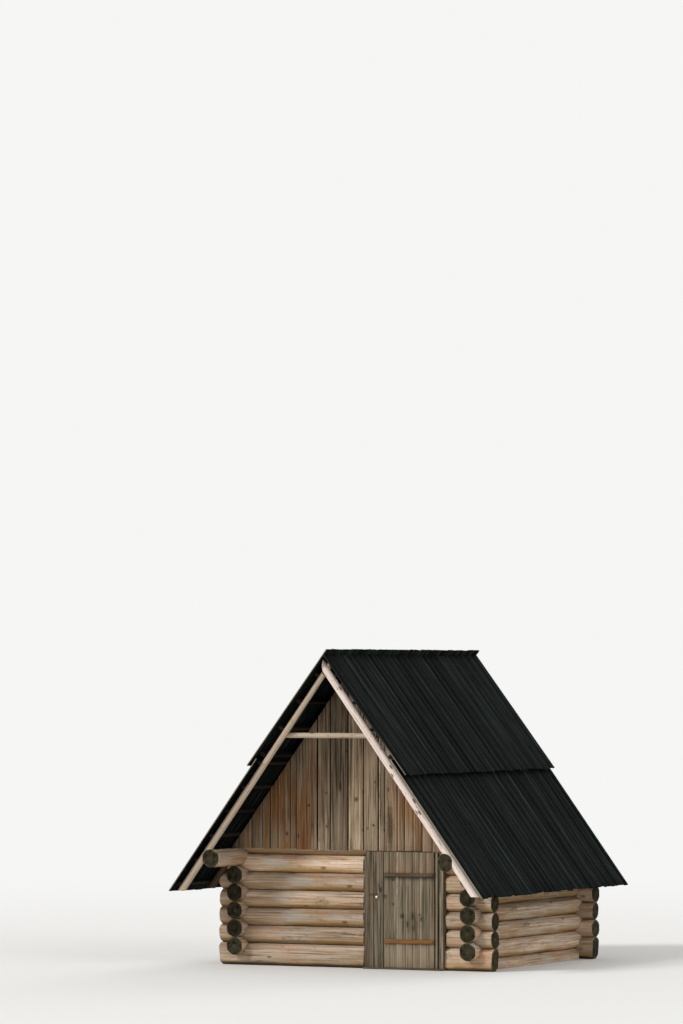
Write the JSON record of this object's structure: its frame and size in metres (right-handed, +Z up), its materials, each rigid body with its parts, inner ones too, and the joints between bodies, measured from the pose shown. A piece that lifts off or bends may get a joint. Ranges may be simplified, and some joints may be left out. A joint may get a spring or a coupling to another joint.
{
  "type": "log cabin",
  "caption": "Small log cabin with saddle-notched corners, a steep board roof on pole rafters, board gables and a plank door that opens outward.",
  "frame": {"origin": "ground level, in the middle of the width and length that the roof covers", "axes": "+Z up, -Y out of the front wall with the door, +X to the right as seen from the front, the ridge along Y"},
  "size_m": [5.6384, 5.8, 5.1589],
  "materials": {
    "log": "weathered, hewn",
    "pole": "peeled, sun-bleached",
    "rafter": "peeled, dark",
    "gable_board": "weathered, sawn",
    "door_board": "weathered, sawn",
    "ledge": "weathered, sawn",
    "post": "weathered, hewn",
    "roof_board": "dark, weathered",
    "rusty_iron": "rusty",
    "padlock_steel": "worn"
  },
  "bodies": {
    "cabin": {"front_logs_left": "log", "front_logs_right": "log", "front_head_log": "log", "rear_wall_logs": "log", "rear_head_log": "log", "left_wall_logs": "log", "right_wall_logs": "log", "left_wall_plate": "log", "right_wall_plate": "log", "threshold": "door_board", "left_jamb": "post", "right_jamb": "post", "door_side_boards": "door_board", "hinge_stile": "door_board", "jamb_cover_board": "door_board", "frame_hinges": "rusty_iron", "hasp": "rusty_iron", "padlock": "padlock_steel", "front_left_pole": "pole", "front_right_pole": "pole", "front_collar": "pole", "left_rafters": "rafter", "right_rafters": "rafter", "rafter_collars": "rafter", "front_gable_boards": "gable_board", "rear_gable_boards": "gable_board", "left_battens": "rafter", "right_battens": "rafter", "left_upper_roof_boards": "roof_board", "right_upper_roof_boards": "roof_board", "left_lower_roof_boards": "roof_board", "right_lower_roof_boards": "roof_board"},
    "door": {"door_leaf": "door_board", "upper_door_ledge": "ledge", "lower_door_ledge": "ledge", "door_hinges": "rusty_iron", "door_ring": "rusty_iron"}
  },
  "joints": [
    {"name": "door_hinge", "type": "hinge", "parent": "cabin", "child": "door", "pos_m": [1.4645, -1.8308, 1], "axis": [0, 0, 1], "range_deg": [0, 105]}
  ]
}
